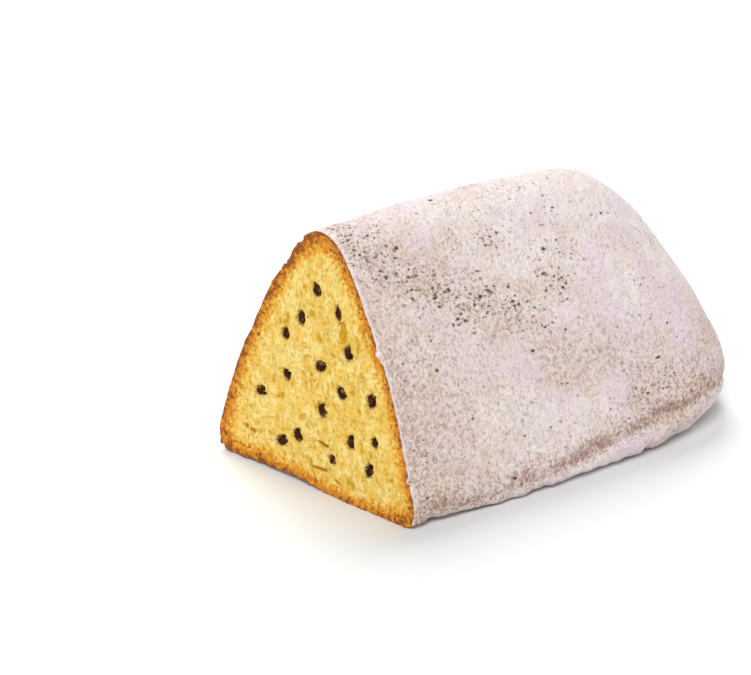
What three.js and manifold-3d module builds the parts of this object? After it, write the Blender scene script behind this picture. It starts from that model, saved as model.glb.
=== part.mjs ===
// A panettone baked as a three-sided bar and dusted with icing sugar, with one end cut off. The knife has
// opened the crumb and the chocolate drops baked into it. Millimetres, +Z up. The loaf lies on its widest side,
// the cut faces -Y and the rounded end is at +Y. The origin is under the middle of the loaf, on the surface
// that it rests on.
import * as THREE from "three";
import { mergeVertices } from "three/addons/utils/BufferGeometryUtils.js";
import Module from "manifold-3d";

const wasm = await Module();
wasm.setup();

// Section of the bar: a triangle with bowed flanks and soft corners.
const BASE_WIDTH = 130; // across the underside, corner to corner, before the corners are rounded
const RIDGE_HEIGHT = 128; // underside to the ridge, before the ridge is rounded
const FLANK_BOW = 8.4; // how far each flank swells past the straight line from corner to ridge
const RIDGE_BLEND = 24.7; // how broadly the two flanks run into each other at the ridge
const LEFT_BLEND = 13; // how broadly the flank on the -X side runs into the underside
const RIGHT_BLEND = 12; // the same on the +X side
const WAIST = 0.00032; // how much the flanks draw in towards both ends, per millimetre of distance squared
const WAIST_FROM = 90; // where the bar is fattest, measured from the cut

// Rounded end: the far wall of the tin leans in towards the ridge.
const LENGTH = 226; // cut to the foot of the far wall
const END_LEAN = 0.509; // how far the wall comes in for each millimetre of height
const END_BOW = 0.003; // how much it bows, per millimetre of width squared
const END_BLEND = 34.5; // how broadly the flanks run into the wall
const FOOT_BLEND = 41.7; // how broadly the wall runs into the underside
const FOOT_REACH = 60; // how far from the wall's foot the underside starts to round up
const FOOT_EASE = 15; // and over what distance that change comes in

// The cut: an upright slice, turned a little and leaning back a little.
const CUT_YAW = THREE.MathUtils.degToRad(8);
const CUT_LEAN = THREE.MathUtils.degToRad(2.9);
const CUT_SPARE = 24; // the bar is made longer than this side of the cut by this much

// Mesh density of the loaf.
const COLUMNS = 72; // points round the bar
const CORNER_CROWDING = 0.5; // how much closer together they stand at the ridge and the corners
const STRAIGHT_ROWS = 11; // sections along the straight part
const END_ROWS = 11; // rows over the rounded end
const MIDDLE_HEIGHT = 45; // height of the line that the sections are drawn from
const END_FROM = 136; // where the straight part gives way to the rounded end

// Chocolate drops: small teardrops, cut through by the knife.
const DROP_GAP = 0.35; // clearance between a drop and the crumb round it
const DROP_DEPTH = 5.2; // thickness of a drop, square to the cut
const DROP_SUNK = 0.5; // how far a drop's middle lies behind the cut
const DROP_SIDES = 12;
const DROP_STEPS = 7;

// Where each drop shows on the cut: millimetres across from the middle, millimetres up from the underside,
// its width and height there, and its turn in degrees.
const DROPS = [
  [-2, 89, 4.4, 6.2, 5],
  [-10.5, 74, 5.0, 6.4, -14],
  [11.5, 82, 3.8, 6.4, 8],
  [-20, 64.5, 5.2, 4.4, 30],
  [18, 66, 4.8, 6.0, -8],
  [2, 56, 5.5, 5.0, 20],
  [-18.5, 46.5, 5.2, 5.2, 0],
  [-34.5, 34.5, 6.6, 4.4, 12],
  [15, 47.5, 5.6, 5.0, -24],
  [33, 49.5, 4.8, 6.4, -10],
  [3.5, 36.5, 4.2, 6.2, 6],
  [-10.5, 21, 5.6, 6.2, -12],
  [-21, 15.5, 7.0, 4.6, 18],
  [21.5, 27.5, 4.4, 6.2, -6],
  [36, 31.5, 4.0, 5.2, 10],
  [11, 16.5, 4.4, 4.2, 0],
  [33, 18, 4.8, 6.2, -16],
];

const CRUST_MATERIAL = new THREE.MeshStandardMaterial({ color: "#e6d9d3", roughness: 0.92, metalness: 0 });
const CHOCOLATE_MATERIAL = new THREE.MeshStandardMaterial({ color: "#3a2015", roughness: 0.45, metalness: 0 });

// ---------- the loaf as a formula ----------

// The larger of two distances, eased over the width k where they are nearly equal.
function softMax(a, b, k) {
  const h = Math.max(k - Math.abs(a - b), 0);
  return Math.max(a, b) + (h * h) / (4 * k);
}

// 0 well below the centre, 1 well above it.
function ease(value, centre, width) {
  return 1 / (1 + Math.exp(-(value - centre) / width));
}

// The flanks are arcs of one radius, which each pass through a corner and the ridge.
const CHORD = Math.hypot(BASE_WIDTH / 2, RIDGE_HEIGHT);
const FLANK_RADIUS = ((CHORD * CHORD) / 4 + FLANK_BOW * FLANK_BOW) / (2 * FLANK_BOW);
const OUT_X = RIDGE_HEIGHT / CHORD;
const OUT_Z = BASE_WIDTH / 2 / CHORD;
const ARC_X = BASE_WIDTH / 4 - OUT_X * (FLANK_RADIUS - FLANK_BOW);
const ARC_Z = RIDGE_HEIGHT / 2 - OUT_Z * (FLANK_RADIUS - FLANK_BOW);

// Signed distance, near enough, from the bar's surface: negative inside.
function barField(x, y, z) {
  const drawnIn = WAIST * (y - WAIST_FROM) ** 2 * OUT_X;
  const rightFlank = Math.hypot(x - ARC_X, z - ARC_Z) - FLANK_RADIUS + drawnIn;
  const leftFlank = Math.hypot(-x - ARC_X, z - ARC_Z) - FLANK_RADIUS + drawnIn;
  const wall = (y - (LENGTH - END_LEAN * z - END_BOW * x * x)) / Math.hypot(1, END_LEAN);
  const sides = softMax(softMax(rightFlank, leftFlank, RIDGE_BLEND), wall, END_BLEND);
  const cornerBlend = THREE.MathUtils.lerp(LEFT_BLEND, RIGHT_BLEND, ease(x, 0, 8));
  const footShare = ease(y, LENGTH - FOOT_REACH, FOOT_EASE);
  return softMax(sides, -z, THREE.MathUtils.lerp(cornerBlend, FOOT_BLEND, footShare));
}

// Where a straight line from an inner point leaves the bar, found by halving.
function surfacePoint(from, direction) {
  let inside = 0;
  let outside = 260;
  for (let i = 0; i < 34; i++) {
    const reach = (inside + outside) / 2;
    const p = from.clone().addScaledVector(direction, reach);
    if (barField(p.x, p.y, p.z) < 0) inside = reach;
    else outside = reach;
  }
  const point = from.clone().addScaledVector(direction, inside);
  if (point.z < 0.02) point.z = 0; // the underside is truly flat
  return point;
}

// ---------- solids ----------

// A closed three.js geometry as a manifold-3d solid.
function solidOf(geometry) {
  const bare = geometry.clone();
  bare.deleteAttribute("normal");
  bare.deleteAttribute("uv");
  const merged = mergeVertices(bare, 1e-4);
  return new wasm.Manifold(
    new wasm.Mesh({
      numProp: 3,
      vertProperties: merged.attributes.position.array,
      triVerts: new Uint32Array(merged.index.array),
    }),
  );
}

// A manifold-3d solid as a flat-shaded three.js geometry.
function geometryOf(solid) {
  const { vertProperties, triVerts, numProp } = solid.getMesh();
  const positions = new Float32Array((vertProperties.length / numProp) * 3);
  for (let i = 0; i < positions.length / 3; i++) {
    positions.set(vertProperties.subarray(i * numProp, i * numProp + 3), i * 3);
  }
  const shared = new THREE.BufferGeometry();
  shared.setAttribute("position", new THREE.BufferAttribute(positions, 3));
  shared.setIndex(new THREE.BufferAttribute(triVerts, 1));
  const flat = shared.toNonIndexed();
  flat.computeVertexNormals();
  return flat;
}

// The whole bar, longer than the cut: rings of points round it, from a flat start to a pole on the far wall.
function barGeometry() {
  const rings = [];
  for (let row = 0; row <= STRAIGHT_ROWS; row++) {
    const y = THREE.MathUtils.mapLinear(row, 0, STRAIGHT_ROWS, -CUT_SPARE, END_FROM);
    rings.push({ y, climb: 0 });
  }
  for (let row = 1; row < END_ROWS; row++) {
    rings.push({ y: END_FROM, climb: (row / END_ROWS) * (Math.PI / 2) });
  }
  const points = [new THREE.Vector3(0, -CUT_SPARE, MIDDLE_HEIGHT)];
  for (const { y, climb } of rings) {
    const from = new THREE.Vector3(0, y, MIDDLE_HEIGHT);
    for (let column = 0; column < COLUMNS; column++) {
      const even = ((column + 0.5) / COLUMNS) * 2 * Math.PI;
      const angle = even - (CORNER_CROWDING / 3) * Math.sin(3 * even);
      const direction = new THREE.Vector3(
        Math.sin(angle) * Math.cos(climb),
        Math.sin(climb),
        Math.cos(angle) * Math.cos(climb),
      );
      points.push(surfacePoint(from, direction));
    }
  }
  points.push(surfacePoint(new THREE.Vector3(0, END_FROM, MIDDLE_HEIGHT), new THREE.Vector3(0, 1, 0)));
  const pole = points.length - 1;
  const index = [];
  for (let column = 0; column < COLUMNS; column++) {
    const next = (column + 1) % COLUMNS;
    index.push(0, 1 + next, 1 + column);
    for (let row = 0; row < rings.length - 1; row++) {
      const a = 1 + row * COLUMNS;
      const b = a + COLUMNS;
      index.push(a + column, b + next, b + column);
      index.push(a + column, a + next, b + next);
    }
    const last = 1 + (rings.length - 1) * COLUMNS;
    index.push(last + column, last + next, pole);
  }
  const geometry = new THREE.BufferGeometry().setFromPoints(points);
  geometry.setIndex(index);
  return geometry;
}

// A teardrop of the given width, depth and height, standing on its blunt end.
function teardropGeometry(width, depth, height) {
  const profile = [];
  for (let step = 0; step <= DROP_STEPS; step++) {
    const t = (step / DROP_STEPS) * Math.PI;
    const radius = step % DROP_STEPS === 0 ? 0 : 0.5 * Math.sin(t) * (1 + 0.16 * Math.cos(t));
    profile.push(new THREE.Vector2(radius, -0.5 * Math.cos(t)));
  }
  const geometry = new THREE.LatheGeometry(profile, DROP_SIDES);
  geometry.scale(width, height, depth);
  return geometry;
}

// ---------- the cut's own frame: x across it, y up it, z out of the crumb ----------

const cutOut = new THREE.Vector3(Math.tan(CUT_YAW), -1, Math.tan(CUT_LEAN)).normalize();
const cutAcross = new THREE.Vector3(1, Math.tan(CUT_YAW), 0).normalize();
const cutUp = new THREE.Vector3().crossVectors(cutOut, cutAcross);
const cutFrame = new THREE.Matrix4().makeBasis(cutAcross, cutUp, cutOut);

// Everything in front of the cut.
function offcutSolid() {
  const geometry = new THREE.BoxGeometry(2 * BASE_WIDTH, 3 * RIDGE_HEIGHT, 2 * CUT_SPARE);
  geometry.translate(0, 0, CUT_SPARE);
  return geometry;
}

// A drop's shape in the cut's frame, larger all round by grow.
function dropShape([across, up, width, height, turn], grow) {
  const geometry = teardropGeometry(width + 2 * grow, DROP_DEPTH + 2 * grow, height + 2 * grow);
  geometry.rotateZ(THREE.MathUtils.degToRad(turn));
  geometry.translate(across, up, -DROP_SUNK);
  return geometry;
}

function loafMesh() {
  let solid = solidOf(barGeometry()).subtract(solidOf(offcutSolid().applyMatrix4(cutFrame)));
  for (const drop of DROPS) {
    solid = solid.subtract(solidOf(dropShape(drop, DROP_GAP).applyMatrix4(cutFrame)));
  }
  const mesh = new THREE.Mesh(geometryOf(solid), CRUST_MATERIAL);
  mesh.name = "loaf";
  return mesh;
}

function dropMesh(drop, number) {
  const solid = solidOf(dropShape(drop, 0)).subtract(solidOf(offcutSolid()));
  const mesh = new THREE.Mesh(geometryOf(solid), CHOCOLATE_MATERIAL);
  mesh.name = "chocolate_drop_" + String(number).padStart(2, "0");
  return mesh;
}

// ---------- the panettone ----------

const panettone = new THREE.Group();
const loaf = loafMesh();
panettone.add(loaf);

const cutSurface = new THREE.Group();
cutSurface.quaternion.setFromRotationMatrix(cutFrame);
DROPS.forEach((drop, i) => cutSurface.add(dropMesh(drop, i + 1)));
panettone.add(cutSurface);

const extent = new THREE.Box3().setFromObject(loaf);
const middle = extent.getCenter(new THREE.Vector3());
panettone.position.set(-middle.x, -middle.y, -extent.min.z);

export default panettone;
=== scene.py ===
"""A sugar-dusted panettone bar with one end cut off, lying on a pale table.

The packed model gives the sizes and places. This file gives the loaf its baked and cut surface, the chocolate
drops their shape, and both their finish, and sets a soft studio round them. Lengths are in metres.
"""

import math

import bpy
import numpy as np
from bpy.props import FloatProperty, FloatVectorProperty, IntProperty, PointerProperty
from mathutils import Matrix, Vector


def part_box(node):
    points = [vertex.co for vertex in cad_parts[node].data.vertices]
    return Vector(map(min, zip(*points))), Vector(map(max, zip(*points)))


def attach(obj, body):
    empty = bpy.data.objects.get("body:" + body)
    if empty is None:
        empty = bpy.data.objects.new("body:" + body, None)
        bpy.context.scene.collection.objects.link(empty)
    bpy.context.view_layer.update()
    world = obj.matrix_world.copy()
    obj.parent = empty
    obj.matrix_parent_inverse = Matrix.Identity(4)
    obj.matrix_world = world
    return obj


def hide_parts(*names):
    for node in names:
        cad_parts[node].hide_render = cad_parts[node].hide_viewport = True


bl_info = {
    "name": "Panettone",
    "version": (1, 0, 0),
    "blender": (4, 5, 0),
    "location": "3D View > Sidebar > Panettone",
    "description": "Builds a cut panettone bar with its chocolate drops, and a studio round it",
    "category": "Add Mesh",
}

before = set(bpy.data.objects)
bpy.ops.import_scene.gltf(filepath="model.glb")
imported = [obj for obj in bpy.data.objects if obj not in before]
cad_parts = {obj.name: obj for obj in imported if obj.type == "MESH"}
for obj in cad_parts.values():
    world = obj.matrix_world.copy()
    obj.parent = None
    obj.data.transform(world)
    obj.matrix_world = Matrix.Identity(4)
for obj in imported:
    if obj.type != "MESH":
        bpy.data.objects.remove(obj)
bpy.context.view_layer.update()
LOAF_BOX = np.array([list(corner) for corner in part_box("loaf")])
DROP_NODES = sorted(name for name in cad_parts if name.startswith("chocolate_drop"))

MM = 0.001
TURN = 2 * math.pi
X_AXIS, Y_AXIS, Z_AXIS = np.eye(3)


# ---------- settings ----------


def number_prop(name, description, default):
    """A plain number that a user may change."""
    return FloatProperty(name=name, description=description, default=default)


def strength_prop(name, description, default):
    """A strength, never negative, that a user may change."""
    return FloatProperty(name=name, description=description, default=default, min=0)


def length_prop(name, description, default):
    """A length that a user may change."""
    return FloatProperty(name=name, description=description, default=default, unit="LENGTH", precision=5)


def angle_prop(name, description, degrees):
    """An angle that a user may change."""
    return FloatProperty(name=name, description=description, default=math.radians(degrees), subtype="ANGLE")


def colour_prop(name, description, default):
    """A linear colour that a user may change."""
    return FloatVectorProperty(
        name=name, description=description, default=default, size=3, min=0, max=1, subtype="COLOR"
    )


class PanettoneShape(bpy.types.PropertyGroup):
    """Shape: the baked bar and the slice through it"""

    base_width: length_prop("Base width", "Underside from corner to corner, before rounding", 0.130)
    ridge_height: length_prop("Ridge height", "Underside to ridge, before rounding", 0.128)
    flank_bow: length_prop("Flank bow", "How far each flank swells past a straight line", 0.0084)
    ridge_blend: length_prop("Ridge blend", "How broadly the flanks run into each other", 0.0247)
    left_blend: length_prop("Left blend", "How broadly the -X flank runs into the underside", 0.013)
    right_blend: length_prop("Right blend", "How broadly the +X flank runs into the underside", 0.012)
    waist: number_prop("Waist", "How much the flanks draw in, per metre of distance squared", 0.32)
    fattest: length_prop("Fattest", "Where the bar is fattest, from the cut", 0.090)
    bar_length: length_prop("Bar length", "Cut to the foot of the far wall", 0.226)
    end_lean: number_prop("End lean", "How far the far wall comes in for each metre of height", 0.509)
    end_bow: number_prop("End bow", "How much the far wall bows, per metre of width squared", 3.0)
    end_blend: length_prop("End blend", "How broadly the flanks run into the far wall", 0.0345)
    foot_blend: length_prop("Foot blend", "How broadly the far wall runs into the underside", 0.0417)
    foot_reach: length_prop("Foot reach", "How far from the far wall the underside rounds up", 0.060)
    foot_ease: length_prop("Foot ease", "Over what distance that change comes in", 0.015)
    arch_rise: length_prop("Arch rise", "How far the underside lifts at the cut", 0.0026)
    arch_middle: length_prop("Arch middle", "Where it lifts, across the loaf", -0.017)
    arch_reach: length_prop("Arch reach", "Half the width of the lift", 0.040)
    arch_depth: length_prop("Arch depth", "How far the lift runs in from the cut", 0.030)
    cut_yaw: angle_prop("Cut yaw", "Turn of the slice", 8)
    cut_lean: angle_prop("Cut lean", "Backward lean of the slice", 2.9)
    axis_height: length_prop("Axis height", "Height of the line that sections are measured from", 0.045)
    end_from: length_prop("End from", "Where sections give way to the rounded end", 0.136)
    relief: strength_prop("Relief", "Strength of all lumps, pores and dents", 1.0)
    seed: IntProperty(name="Seed", description="Which scatter of pores and lumps", default=7)


class PanettoneCrust(bpy.types.PropertyGroup):
    """Crust: icing sugar on baked crust"""

    sugar_pale: colour_prop("Pale sugar", "Where the icing sugar lies thick", (0.97, 0.87, 0.86))
    sugar_cool: colour_prop("Cool sugar", "The coolest patches of sugar", (0.905, 0.765, 0.825))
    sugar_warm: colour_prop("Warm sugar", "Where crust tints the sugar", (0.87, 0.725, 0.63))
    gap: colour_prop("Gap", "Crust that shows between the grains", (0.50, 0.36, 0.295))
    stained: colour_prop("Stained sugar", "Sugar that has drawn colour from the crease", (0.60, 0.395, 0.345))
    bare: colour_prop("Bare crust", "Crust that the sugar has left bare", (0.30, 0.15, 0.095))
    # Painted shade: the crust inside the small pits, darkened as if in shade.
    pit_crust_and_shade: colour_prop("Pit", "Inside the small open pits", (0.085, 0.038, 0.028))


class PanettoneCrumb(bpy.types.PropertyGroup):
    """Crumb: the cut surface and its browned rind"""

    crumb: colour_prop("Crumb", "Egg-yellow crumb", (0.88, 0.58, 0.115))
    crumb_pale: colour_prop("Pale crumb", "Drier and paler crumb", (0.95, 0.74, 0.26))
    # Painted shade: the crumb deeper yellow in pores and hollows by their depth, and in random specks.
    deep_crumb_and_pore_shade: colour_prop("Deep crumb", "Crumb down in the pores", (0.63, 0.36, 0.008))
    # Painted shadow: the dark at the bottom of deep tears and in small holes of the crumb.
    torn: colour_prop("Torn crumb", "The bottom of tears", (0.20, 0.085, 0.018))
    rind_gold: colour_prop("Golden rind", "Where the crumb starts to brown", (0.84, 0.44, 0.040))
    rind: colour_prop("Rind", "Baked edge of the crumb", (0.69, 0.245, 0.016))
    rind_dark: colour_prop("Dark rind", "The outermost edge", (0.26, 0.075, 0.012))
    stain: colour_prop("Stain", "Chocolate drawn into the crumb", (0.26, 0.11, 0.035))


class PanettoneChocolate(bpy.types.PropertyGroup):
    """Chocolate: the drops in the crumb"""

    dark: colour_prop("Chocolate", "Dark chocolate", (0.040, 0.0085, 0.0030))
    smear: colour_prop("Smear", "Where the knife dragged it", (0.105, 0.030, 0.010))
    crumbs: colour_prop("Crumbs", "Crumbs stuck to it", (0.50, 0.28, 0.07))


class PanettoneStudio(bpy.types.PropertyGroup):
    """Studio: table, light and camera"""

    table: colour_prop("Table", "The pale table", (0.845, 0.862, 0.872))
    sky: strength_prop("Sky", "Strength of the light from overhead", 0.34)
    horizon: strength_prop("Horizon", "Strength of the light at the horizon", 1.0)
    front: strength_prop("Front", "Strength of the light from the front", 1.70)
    front_azimuth: angle_prop("Front azimuth", "Turn of the front light", 44)
    front_elevation: angle_prop("Front elevation", "Height of the front light", 50)
    back: strength_prop("Back", "Strength of the light from behind", 1.80)
    back_azimuth: angle_prop("Back azimuth", "Turn of the back light", 249)
    back_elevation: angle_prop("Back elevation", "Height of the back light", 55)
    softness: angle_prop("Softness", "Apparent width of both lights", 28)
    camera_azimuth: angle_prop("Camera azimuth", "Turn of the camera", 53.53)
    camera_elevation: angle_prop("Camera elevation", "Height of the camera", 21.58)
    camera_distance: length_prop("Camera distance", "From the point that it looks at", 1.2425)
    camera_aim: FloatVectorProperty(
        name="Camera aim",
        description="Point that it looks at, from the middle of the underside",
        default=(-0.0369, -0.0414, 0.0432),
        size=3,
        subtype="TRANSLATION",
        precision=4,
    )
    camera_lens: FloatProperty(name="Lens", description="Focal length in millimetres", default=134.2, min=1)


# ---------- numbers that shapes share ----------


def soft_max(a, b, width):
    """The larger of two fields, eased over width where they are nearly equal."""
    near = np.maximum(width - np.abs(a - b), 0)
    return np.maximum(a, b) + near**2 / (4 * width)


def ease(value, centre, width):
    """0 well below centre and 1 well above it: a logistic curve."""
    return 1 / (1 + np.exp(-(value - centre) / width))


def step_up(value, low, high):
    """0 below low, 1 above high, and a cubic ease between."""
    t = np.clip((value - low) / (high - low), 0, 1)
    return t * t * (3 - 2 * t)


def step_down(value, low, high):
    """1 below low, 0 above high, and a cubic ease between."""
    return step_up(-value, -high, -low)


def lumps(points, size, seed):
    """Smooth random values from -1 to 1: random numbers on a cubic lattice of the given spacing, mixed by
    an eased trilinear blend. size may differ along x, y and z, and the numbers repeat after 32 cells."""
    table = np.random.default_rng(seed).uniform(-1, 1, (32, 32, 32))
    place = points / np.asarray(size)
    cell = np.floor(place).astype(int)
    share = place - cell
    share = share * share * (3 - 2 * share)
    low = cell % 32
    high = (cell + 1) % 32
    total = np.zeros(len(points))
    for corner in range(8):
        bits = np.array([corner & 1, corner >> 1 & 1, corner >> 2 & 1], bool)
        at = np.where(bits, high, low)
        weight = np.prod(np.where(bits, share, 1 - share), axis=1)
        total += weight * table[at[:, 0], at[:, 1], at[:, 2]]
    return total


# ---------- grids ----------


def disc_grid(rings):
    """A disc of quads in three blocks that meet in the middle. Ring m holds 6m evenly spaced points. Returns
    each point's ring as a share of the radius, its share of the way round, and the quads."""
    ring = np.concatenate([np.full(6 * m, m) for m in range(1, rings + 1)])
    place = np.concatenate([np.arange(6 * m) for m in range(1, rings + 1)])
    radius = np.concatenate([[0.0], ring / rings])
    turn = np.concatenate([[0.0], place / (6 * ring)])
    i, j = np.meshgrid(np.arange(rings), np.arange(rings), indexing="ij")

    def point_of(block, a, b):
        """The number of the point at column a and row b of a block: it stands on ring max(a, b)."""
        m = np.maximum(a, b)
        along = np.where(a == m, b, 2 * m - a)
        round_ring = (2 * m * block + along) % np.maximum(6 * m, 1)
        return np.where(m == 0, 0, 1 + 3 * m * (m - 1) + round_ring)

    corners = ((0, 0), (1, 0), (1, 1), (0, 1))
    blocks = [np.stack([point_of(k, i + di, j + dj) for di, dj in corners], -1) for k in range(3)]
    return radius, turn, np.concatenate(blocks).reshape(-1, 4)


def zip_rings(first, first_turn, second, second_turn):
    """Triangles between two rings of different counts. Each edge of either ring takes the point of the
    other ring that the middles of its edges have reached by then."""
    count_a, count_b = len(first), len(second)
    middle_a = first_turn + (np.append(first_turn[1:], first_turn[0] + 1) - first_turn) / 2
    middle_b = second_turn + (np.append(second_turn[1:], second_turn[0] + 1) - second_turn) / 2
    across_a = np.searchsorted(middle_b, middle_a) % count_b
    across_b = np.searchsorted(middle_a, middle_b, side="right") % count_a
    from_a = np.stack([first, np.roll(first, -1), second[across_a]], -1)
    from_b = np.stack([first[across_b], np.roll(second, -1), second], -1)
    return np.concatenate([from_a, from_b])


def build_mesh(name, points, faces):
    """A smooth mesh object at the origin from an array of points and a list of faces. Its volume has to be
    positive, which says that the faces point outwards."""
    mesh = bpy.data.meshes.new(name)
    mesh.from_pydata(points, [], faces)
    if mesh.validate():
        raise RuntimeError(name + " has faces that Blender had to drop")
    mesh.polygons.foreach_set("use_smooth", np.full(len(faces), True))
    mesh.calc_loop_triangles()
    corners = np.empty(len(mesh.loop_triangles) * 3, np.int32)
    mesh.loop_triangles.foreach_get("vertices", corners)
    a, b, c = np.moveaxis(np.asarray(points)[corners.reshape(-1, 3)], 1, 0)
    if np.einsum("ij,ij->", a, np.cross(b, c)) <= 0:
        raise RuntimeError(name + " is inside out")
    piece = bpy.data.objects.new(name, mesh)
    bpy.context.scene.collection.objects.link(piece)
    return piece


def paint(piece, name, values):
    """Stores one number per vertex for a material to read."""
    layer = piece.data.attributes.new(name, "FLOAT", "POINT")
    layer.data.foreach_set("value", np.ascontiguousarray(values, np.float32))


# ---------- the loaf's shape ----------

FACE_RINGS = 118  # rings of points on the slice
COLUMNS = 270  # points round the crust, a multiple of 6 as the cap needs
STRAIGHT_ROWS = 114  # rows of them along the straight part
END_ROWS = 50  # rows of them over the rounded end, up to its cap
CAP_FROM = math.radians(52)  # how far the rays have swung lengthwise where the cap starts
ROW_CROWDING = 1.18  # above 1, rows stand closer together near the cut
UNDERSIDE_SHARE = 0.35  # share of its length that the underside counts for when columns are spaced

LONGEST_RAY = 0.26  # longer than any ray from the bar's axis to its crust
HALVINGS = 30  # enough to place the crossing to well under a micrometre


def loaf_field(points, shape):
    """Signed distance, near enough, from the baked bar, negative inside. Each flank is an arc through a
    corner and the ridge, the far wall a leaning bowed plane and the underside a flat one, lifted a little
    by the cut; soft maxima join them."""
    x, y, z = np.moveaxis(points, -1, 0)
    half = shape.base_width / 2
    chord = math.hypot(half, shape.ridge_height)
    bow = shape.flank_bow
    radius = (chord**2 / 4 + bow**2) / (2 * bow)
    out_x = shape.ridge_height / chord
    out_z = half / chord
    arc_x = half / 2 - out_x * (radius - bow)
    arc_z = shape.ridge_height / 2 - out_z * (radius - bow)
    drawn_in = shape.waist * (y - shape.fattest) ** 2 * out_x
    right = np.hypot(x - arc_x, z - arc_z) - radius + drawn_in
    left = np.hypot(-x - arc_x, z - arc_z) - radius + drawn_in
    foot_line = shape.bar_length - shape.end_lean * z - shape.end_bow * x * x
    wall = (y - foot_line) / math.hypot(1, shape.end_lean)
    sides = soft_max(soft_max(right, left, shape.ridge_blend), wall, shape.end_blend)
    corner_blend = shape.left_blend + (shape.right_blend - shape.left_blend) * ease(x, 0, 8 * MM)
    foot = ease(y, shape.bar_length - shape.foot_reach, shape.foot_ease)
    blend = corner_blend + (shape.foot_blend - corner_blend) * foot
    window = np.clip(1 - ((x - shape.arch_middle) / shape.arch_reach) ** 2, 0, 1) ** 2
    lift = shape.arch_rise * window * np.exp(-((np.maximum(y, 0) / shape.arch_depth) ** 2))
    return soft_max(sides, lift - z, blend)


def leave_loaf(origins, directions, shape):
    """Where rays from inside leave the bar, by halving the stretch that holds the crossing. The rays start at
    one point or each at its own."""
    inside = np.zeros(len(directions))
    outside = np.full(len(directions), LONGEST_RAY)
    for _ in range(HALVINGS):
        reach = (inside + outside) / 2
        within = loaf_field(origins + directions * reach[:, None], shape) < 0
        inside = np.where(within, reach, inside)
        outside = np.where(within, outside, reach)
    return origins + directions * inside[:, None]


def loaf_normals(points, shape):
    """Outward directions: the slope of the field, by small steps along each axis."""
    step = 0.2 * MM
    ahead = [loaf_field(points + step * axis, shape) for axis in (X_AXIS, Y_AXIS, Z_AXIS)]
    behind = [loaf_field(points - step * axis, shape) for axis in (X_AXIS, Y_AXIS, Z_AXIS)]
    slope = np.stack(ahead, -1) - np.stack(behind, -1)
    return slope / np.linalg.norm(slope, axis=1, keepdims=True)


def cut_axes(shape):
    """The slice's own directions: across it, up it and out of the crumb. It passes through the origin."""
    out = np.array([math.tan(shape.cut_yaw), -1, math.tan(shape.cut_lean)])
    out /= np.linalg.norm(out)
    across = np.array([1, math.tan(shape.cut_yaw), 0])
    across /= np.linalg.norm(across)
    return across, np.cross(out, across), out


def fan(turns, across, up):
    """Directions in a plane: an angle of 0 is up and a quarter turn is across."""
    return np.outer(np.sin(turns), across) + np.outer(np.cos(turns), up)


def cut_middle(shape):
    """The point of the slice that its outline is measured from, at the height of the bar's axis."""
    return np.array([0, shape.axis_height * math.tan(shape.cut_lean), shape.axis_height])


def end_middle(shape):
    """The point of the bar's axis that the rounded end is measured from."""
    return np.array([0, shape.end_from, shape.axis_height])


def cut_outline(angles, shape):
    """The smooth bar's outline on the slice, in the given directions from the slice's middle."""
    across, up, _ = cut_axes(shape)
    return leave_loaf(cut_middle(shape), fan(angles, across, up), shape)


def swing_out(upright, swing):
    """Upright directions swung by an angle towards the far end."""
    return upright * np.cos(swing)[..., None] + Y_AXIS * np.sin(swing)[..., None]


def even_angles(shape, count, underside_share):
    """Angles that divide the slice's outline into stretches of equal length, with the underside's length
    counted at a share of its own."""
    angles = np.linspace(0, TURN, 2881)
    rim = cut_outline(angles, shape)
    stretch = np.linalg.norm(np.diff(rim, axis=0), axis=1)
    under = step_down((rim[1:, 2] + rim[:-1, 2]) / 2, 1 * MM, 6 * MM)
    stretch *= 1 + (underside_share - 1) * under
    travelled = np.append(0, np.cumsum(stretch))
    return np.interp(np.arange(count) / count, travelled / travelled[-1], angles)


def stripes(points, size, seed):
    """Smooth random values from -1 to 1 that change along the loaf and hardly across or up it."""
    return lumps(points, (40 * MM, size, 400 * MM), seed)


def above_crease(points, shape):
    """Height above the crease in the crust, which is low and level by the cut, climbs towards the rounded end
    and wanders a little."""
    height = (5.3 + 12.2 * step_up(points[:, 1], 68 * MM, 185 * MM)) * MM
    return points[:, 2] - height - 2.0 * MM * stripes(points, 19 * MM, shape.seed + 4)


def crust_relief(points, from_cut, shape):
    """How far the crust stands out from the smooth bar: broad lumps, finer ones, a crease above the foot with
    a swollen and notched lip under it, shallow dents, and nicks along the cut edge."""
    seed = shape.seed
    broad = 0.75 * lumps(points, 28 * MM, seed) + 0.42 * lumps(points, 12 * MM, seed + 1)
    fine = 0.16 * lumps(points, 5 * MM, seed + 2) + 0.10 * lumps(points, 2.6 * MM, seed + 3)
    z = points[:, 2]
    above = above_crease(points, shape)
    depth = 0.55 + 0.45 * stripes(points, 13 * MM, seed + 5)
    crease = -0.9 * depth * np.exp(-((above / (2.1 * MM)) ** 2))
    lip = 0.8 * step_down(above, -2.6 * MM, -0.3 * MM) * step_up(z, 0, 3 * MM)
    dents = -0.7 * step_up(lumps(points, 9 * MM, seed + 6), 0.45, 0.9)
    chips = lumps(points, 2.1 * MM, seed + 7) + 0.5 * lumps(points, 5 * MM, seed + 8)
    nicks = -1.3 * step_up(chips, 0.45, 1.1) * np.exp(-((from_cut / (1.6 * MM)) ** 2))
    scallops = 0.55 * lumps(points, 3.4 * MM, seed + 9) + 0.65 * lumps(points, 6.5 * MM, seed + 10)
    scallops -= 1.5 * step_up(stripes(points, 5.5 * MM, seed + 11), 0.40, 0.75)
    scallops *= step_up(z, 0.2 * MM, 2 * MM) * step_down(z, 5 * MM, 9 * MM)
    return shape.relief * MM * (broad + fine + crease + lip + dents + nicks + scallops)


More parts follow.
